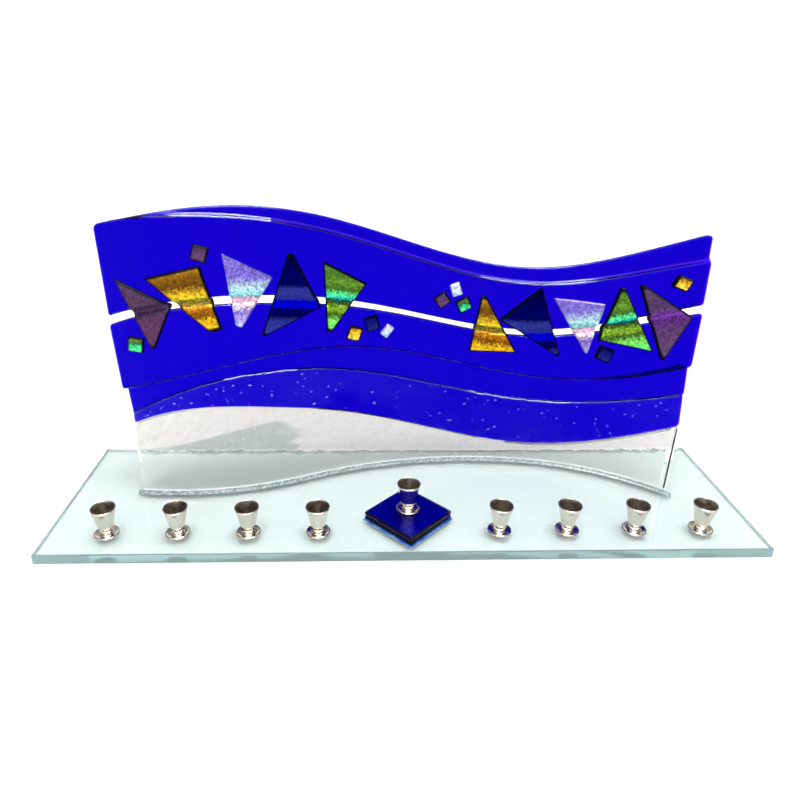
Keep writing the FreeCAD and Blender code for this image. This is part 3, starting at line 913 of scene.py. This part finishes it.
def chip(node, kind, colour):
    """A chip of glass fused to the panel: rounded all round, and slumped where it spans the gap."""
    corners = chip_outline(node)
    outline = rounded_outline(corners, CHIP_SPACING)
    centre, inradius = incentre(corners)
    if kind == "triangle":
        grown = 1 + TRIANGLE_SPREAD / inradius
        outline = [centre + (spot - centre) * grown for spot in outline]
        inradius += TRIANGLE_SPREAD
    inner = max(int((inradius - CHIP_ROUND) / CHIP_RING), 1)
    insets = CHIP_INSETS + [mix(CHIP_ROUND, inradius, i / (inner + 1)) for i in range(1, inner + 1)]
    insets = [i for i in insets if i < inradius * 0.97] + [inradius * 0.98]
    points, band, rise = [], [], []
    rings = [(i, -CHIP_SINK) for i in reversed(insets)] + [(i, None) for i in insets]
    for inset, level in rings:
        share = 1 - inset / inradius
        lift = level
        if level is None:
            bend = max(1 - inset / CHIP_ROUND, 0.0)
            lift = AIR + (CHIP_RISE - AIR) * math.sqrt(1 - bend ** 2)
        for spot in outline:
            x, height = centre + (spot - centre) * share
            sag = dip(x, height)
            points.append(on_panel(x, height, sag - lift))
            band.append(height - (gap_centre(x) if kind == "triangle" else centre.y))
            coloured = smooth((inset - RIM_WIDTH) / RIM_FADE)
            rise.append(1.0 if colour == "lilac" else coloured * (level is None))
    faces = solid_faces(len(rings), len(outline))
    look = CHIP_LOOKS[kind, "violet" if node == BRIGHT_PURPLE else colour]
    attributes = {"band": band, "rise": rise}
    return make_piece("chip_" + node, points, faces, [look], attributes=attributes)


def chips():
    """Every triangle and square of the panel."""
    for node in sorted(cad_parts):
        if node.startswith(("triangle_", "square_")):
            kind, _, colour = node.split("_")
            slot = "navy_glass" if colour == "navy" else colour + "_dichroic"
            settle(chip(node, kind, colour), slot, node)


# --- candle cups ------------------------------------------------------------------------------

TURNS = 72


def lathe(name, profile, centre, base, materials, indices):
    """A turned piece: a closed profile of (radius, height) round an upright axis."""
    points = []
    for radius, height in profile:
        for i in range(TURNS):
            turn = 2 * math.pi * i / TURNS
            spot = Vector((radius * math.cos(turn), radius * math.sin(turn), height))
            points.append((spot + Vector((centre.x, centre.y, base))) * MM)
    faces = ring_faces(len(profile), TURNS)
    kinds = [indices[r] for r in range(len(profile) - 1) for _ in range(TURNS)]
    return make_piece(name, points, faces, materials, kinds)


def node_axis(node):
    """The middle of a turned CAD node in plan, its foot and its top, in millimetres."""
    low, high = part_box(node)
    middle = (low + high) / 2 / MM
    return middle, low.z / MM, high.z / MM


def foot_profile(height):
    """A shallow dish with a rounded rim and a low boss that carries the bowl."""
    lip = 6.8
    profile = [(0.0, 0.0), (lip - 0.6, 0.0), (lip - 0.15, 0.18), (lip, 0.6), (lip - 0.08, 1.05)]
    profile += [(lip - 0.3, 1.3), (lip - 0.6, 1.32), (lip - 0.95, 1.12), (lip - 1.5, 0.86)]
    profile += [(lip - 2.3, 0.72), (lip - 3.0, 0.7), (3.36, 0.78), (3.3, 0.9), (3.3, height)]
    return profile + [(0.0, height)]


def bowl_profile(height):
    """A tapered cup with a thin rounded lip and a round-bottomed well: (radius, height, inside)."""
    foot, lip, wall, floor = 3.3, 6.65, 0.5, 0.9
    outside = [(0.0, 0.0), (foot - 0.12, 0.0), (foot, 0.08), (foot + 0.03, 0.4)]
    for i in range(1, 13):
        share = i / 12
        outside.append((mix(foot + 0.03, lip, share), mix(0.4, height - 0.25, share)))
    rim = [(lip - 0.08, height - 0.06), (lip - 0.25, height), (lip - 0.42, height - 0.06)]
    inside = [(lip - wall, height - 0.25)]
    well = foot - wall
    for i in range(1, 11):
        share = i / 10
        inside.append((mix(lip - wall, well + 0.1, share), mix(height - 0.25, floor + 1.2, share)))
    inside += [(well - 0.3, floor + 0.5), (well - 1.0, floor + 0.12), (0.0, floor)]
    kinds = [0] * (len(outside) + len(rim)) + [1] * (len(inside) - 1)
    return outside + rim + inside, kinds


def candle_cup(number):
    """A turned foot and the bowl that is pressed onto it."""
    axis, low, high = node_axis(f"cup_foot_{number}")
    profile = foot_profile(high - low)
    kinds = [0] * (len(profile) - 1)
    foot = lathe(f"cup_{number}_turned_foot", profile, axis, low, [NICKEL_OUTSIDE], kinds)
    settle(foot, "nickel", f"cup_foot_{number}")
    axis, low, high = node_axis(f"cup_bowl_{number}")
    profile, kinds = bowl_profile(high - low)
    materials = [NICKEL_OUTSIDE, NICKEL_INSIDE_PAINTED_SHADE]
    bowl = lathe(f"cup_{number}_turned_bowl", profile, axis, low, materials, kinds)
    settle(bowl, "nickel", f"cup_bowl_{number}")


# --- shamash tile -----------------------------------------------------------------------------

TILE_EDGE = 1.1
TILE_EDGE_STEPS = 6
TILE_INSETS = [3.0, 6.0, 9.0, 12.0, 15.0]
TILE_SPACING = 1.4
BEAD_REACH = 0.7
BEAD_HEIGHT = 0.4


def tile_piece(name, node, base, rings, material):
    """A square piece turned 45 degrees over a tile's plan, from rings of (inset, height)."""
    low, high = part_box(node)
    middle, reach = (low + high) / 2 / MM, (high.x - low.x) / 2 / MM
    inradius = reach / math.sqrt(2)
    corners = [Vector((reach, 0)), Vector((0, reach)), Vector((-reach, 0)), Vector((0, -reach))]
    outline = rounded_outline(corners, TILE_SPACING)
    points = []
    for inset, height in rings:
        for spot in outline:
            place = spot * (1 - inset / inradius)
            points.append(Vector((middle.x + place.x, middle.y + place.y, base + height)) * MM)
    return make_piece(name, points, solid_faces(len(rings), len(outline)), [material])


def tile_layer(node):
    """A square of cobalt glass with eased corners and fire-polished edges."""
    low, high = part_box(node)
    base, thick = low.z / MM + AIR, (high.z - low.z) / MM - 2 * AIR
    turns = [math.pi / 2 * i / TILE_EDGE_STEPS for i in range(TILE_EDGE_STEPS + 1)]
    edge = [(TILE_EDGE * (1 - math.sin(a)), thick / 2 * (1 - math.cos(a))) for a in turns]
    rings = [(inset, 0.0) for inset in reversed(TILE_INSETS)] + edge
    rings += [(inset, thick - height) for inset, height in reversed(edge)][1:]
    rings += [(inset, thick) for inset in TILE_INSETS]
    return tile_piece(node + "_glass", node, base, rings, TILE_GLASS)


def tile_bead():
    """The film under the tile, squeezed out a little past its edges and coloured bright blue: painted
    blue light along the tile's foot.
    """
    rings = [(-BEAD_REACH, 0.0), (-BEAD_REACH * 0.85, 0.2), (-BEAD_REACH * 0.4, BEAD_HEIGHT),
             (0.0, BEAD_HEIGHT), (1.2, 0.2), (6.0, 0.19)]
    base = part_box("tile_adhesive")[0].z / MM
    piece = tile_piece("tile_adhesive_bead", "tile_lower", base, rings, TILE_BEAD_PAINTED_LIGHT)
    settle(piece, "adhesive", "tile_adhesive")


def tile():
    """The two fused layers of the raised tile and the film under them."""
    for node in ("tile_lower", "tile_upper"):
        settle(tile_layer(node), "cobalt_glass", node)
    tile_bead()


# --- what stays from the CAD ------------------------------------------------------------------


def finish_cad_nodes():
    """The plate and the films under the cups keep their CAD shapes and get their glass and glue."""
    for node, material in (("base_plate", PLATE_GLASS), ("cup_adhesive", CUP_GLUE)):
        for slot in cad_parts[node].material_slots:
            slot.material = material


# --- stage ------------------------------------------------------------------------------------

CAMERA_PLACE = Vector((-27.64, -334.95, 231.78))
CAMERA_PITCH = math.radians(22.074)
CAMERA_YAW = math.radians(2.537)
CAMERA_ROLL = math.radians(1.146)
CAMERA_LENS = 28.99
CAMERA_SHIFT = (0.0163, -0.0524)


def camera():
    """The viewer stands in front and above, turned a little to the right."""
    cos, sin = math.cos, math.sin
    ahead = Vector((sin(CAMERA_YAW) * cos(CAMERA_PITCH), cos(CAMERA_YAW) * cos(CAMERA_PITCH),
                    -sin(CAMERA_PITCH)))
    level = Vector((cos(CAMERA_YAW), -sin(CAMERA_YAW), 0))
    below = ahead.cross(level)
    right = level * cos(CAMERA_ROLL) - below * sin(CAMERA_ROLL)
    down = level * sin(CAMERA_ROLL) + below * cos(CAMERA_ROLL)
    turn = Matrix((right, -down, -ahead)).transposed()
    data = bpy.data.cameras.new("camera")
    data.sensor_width = 36.0
    data.lens = CAMERA_LENS
    data.shift_x, data.shift_y = CAMERA_SHIFT
    viewer = bpy.data.objects.new("camera", data)
    viewer.matrix_world = Matrix.Translation(CAMERA_PLACE * MM) @ turn.to_4x4()
    bpy.context.scene.collection.objects.link(viewer)
    bpy.context.scene.camera = viewer


FLOOR_REACH = 10.0
FLOOR_DROP = 0.3
FLOOR_GLOW = 0.2


def floor():
    """A pale floor that glows a little, just below the plate."""
    signs = ((-1, -1), (1, -1), (1, 1), (-1, 1))
    corners = [(x * FLOOR_REACH, y * FLOOR_REACH, -FLOOR_DROP * MM) for x, y in signs]
    mesh = bpy.data.meshes.new("floor")
    mesh.from_pydata(corners, [], [(0, 1, 2, 3)])
    material, nodes, _ = new_material("floor_look")
    shader = nodes["Principled BSDF"]
    shader.inputs["Base Color"].default_value = (0.97, 0.97, 0.97, 1)
    shader.inputs["Roughness"].default_value = 0.9
    shader.inputs["Specular IOR Level"].default_value = 0.0
    shader.inputs["Emission Color"].default_value = (1, 1, 1, 1)
    shader.inputs["Emission Strength"].default_value = FLOOR_GLOW
    mesh.materials.append(material)
    ground = bpy.data.objects.new("floor", mesh)
    bpy.context.scene.collection.objects.link(ground)


# The sky by the height of its direction, then where it turns into the bright ceiling, how
# strong it is below and there, and how it dims towards both sides.
SKY_STOPS = ((0.4, 1.0), (0.56, 0.42), (0.82, 0.42), (0.9, 1.0))
SKY_WARMTH = (1.0, 0.99, 0.975)
CEILING = (0.82, 0.9)
STRENGTHS = (1.03, 2.6)
SIDES = (0.62, 0.88)
SIDE_LEVELS = (1.0, 0.3)


def sky():
    """Soft studio light: a white horizon, dim walls above it and aside, and a bright ceiling."""
    world = bpy.data.worlds.new("studio")
    bpy.context.scene.world = world
    world.use_nodes = True
    nodes, links = world.node_tree.nodes, world.node_tree.links
    place = add(nodes, "ShaderNodeTexCoord")
    parts = add(nodes, "ShaderNodeSeparateXYZ")
    links.new(place.outputs["Generated"], parts.inputs[0])
    up = parts.outputs["Z"]
    stops = [(position, [value * warmth for warmth in SKY_WARMTH]) for position, value in SKY_STOPS]
    aside = calculate(nodes, links, "ABSOLUTE", parts.outputs["X"])
    strength = remap(nodes, links, up, STRENGTHS, CEILING)
    dimmer = remap(nodes, links, aside, SIDE_LEVELS, SIDES)
    background = nodes["Background"]
    links.new(ramp_of(nodes, links, up, stops), background.inputs["Color"])
    total = calculate(nodes, links, "MULTIPLY", strength, dimmer)
    links.new(total, background.inputs["Strength"])


def lamp(name, place, target, size, power):
    """A soft rectangular lamp that points at a target."""
    data = bpy.data.lights.new(name, "AREA")
    data.shape = "RECTANGLE"
    data.size, data.size_y = size
    data.energy = power
    light = bpy.data.objects.new(name, data)
    light.location = place
    light.rotation_mode = "QUATERNION"
    light.rotation_quaternion = (Vector(target) - Vector(place)).to_track_quat("-Z", "Y")
    bpy.context.scene.collection.objects.link(light)
    return light


OVERHEAD = (0.1, -0.35, 1.6)
MID_PANEL = (0, 0, 0.1)


def lights():
    """A wide lamp that only shows in reflections, a thin strip inside it and one in front."""
    gleam = lamp("gleam", OVERHEAD, MID_PANEL, (1.2, 0.4), 38.0)
    gleam.visible_diffuse = False
    gleam.visible_transmission = False
    lamp("strip", OVERHEAD, MID_PANEL, (0.7, 0.035), 4.0)
    lamp("front", (-0.3, -1.6, 1.3), (0, 0, 0), (1.0, 1.0), 9.0)


GLASS_BOUNCES = 32

panel()
panel_bead()
draw = random.Random(SEED)
bubbles("bubbles_on_blue", 110, BUBBLE_GLINT_ON_BLUE, "blue_foot", "front_clear_top", draw)
bubbles("bubbles_on_clear", 35, BUBBLE_GLINT_ON_CLEAR, "base", "blue_foot", draw)
seam_painted_highlights(draw)
chips()
for number in range(1, 10):
    candle_cup(number)
tile()
finish_cad_nodes()
camera()
floor()
sky()
lights()
bpy.context.scene.view_settings.view_transform = "Standard"
bpy.context.scene.cycles.max_bounces = GLASS_BOUNCES
bpy.context.scene.cycles.transmission_bounces = GLASS_BOUNCES
bpy.context.scene.cycles.glossy_bounces = 8
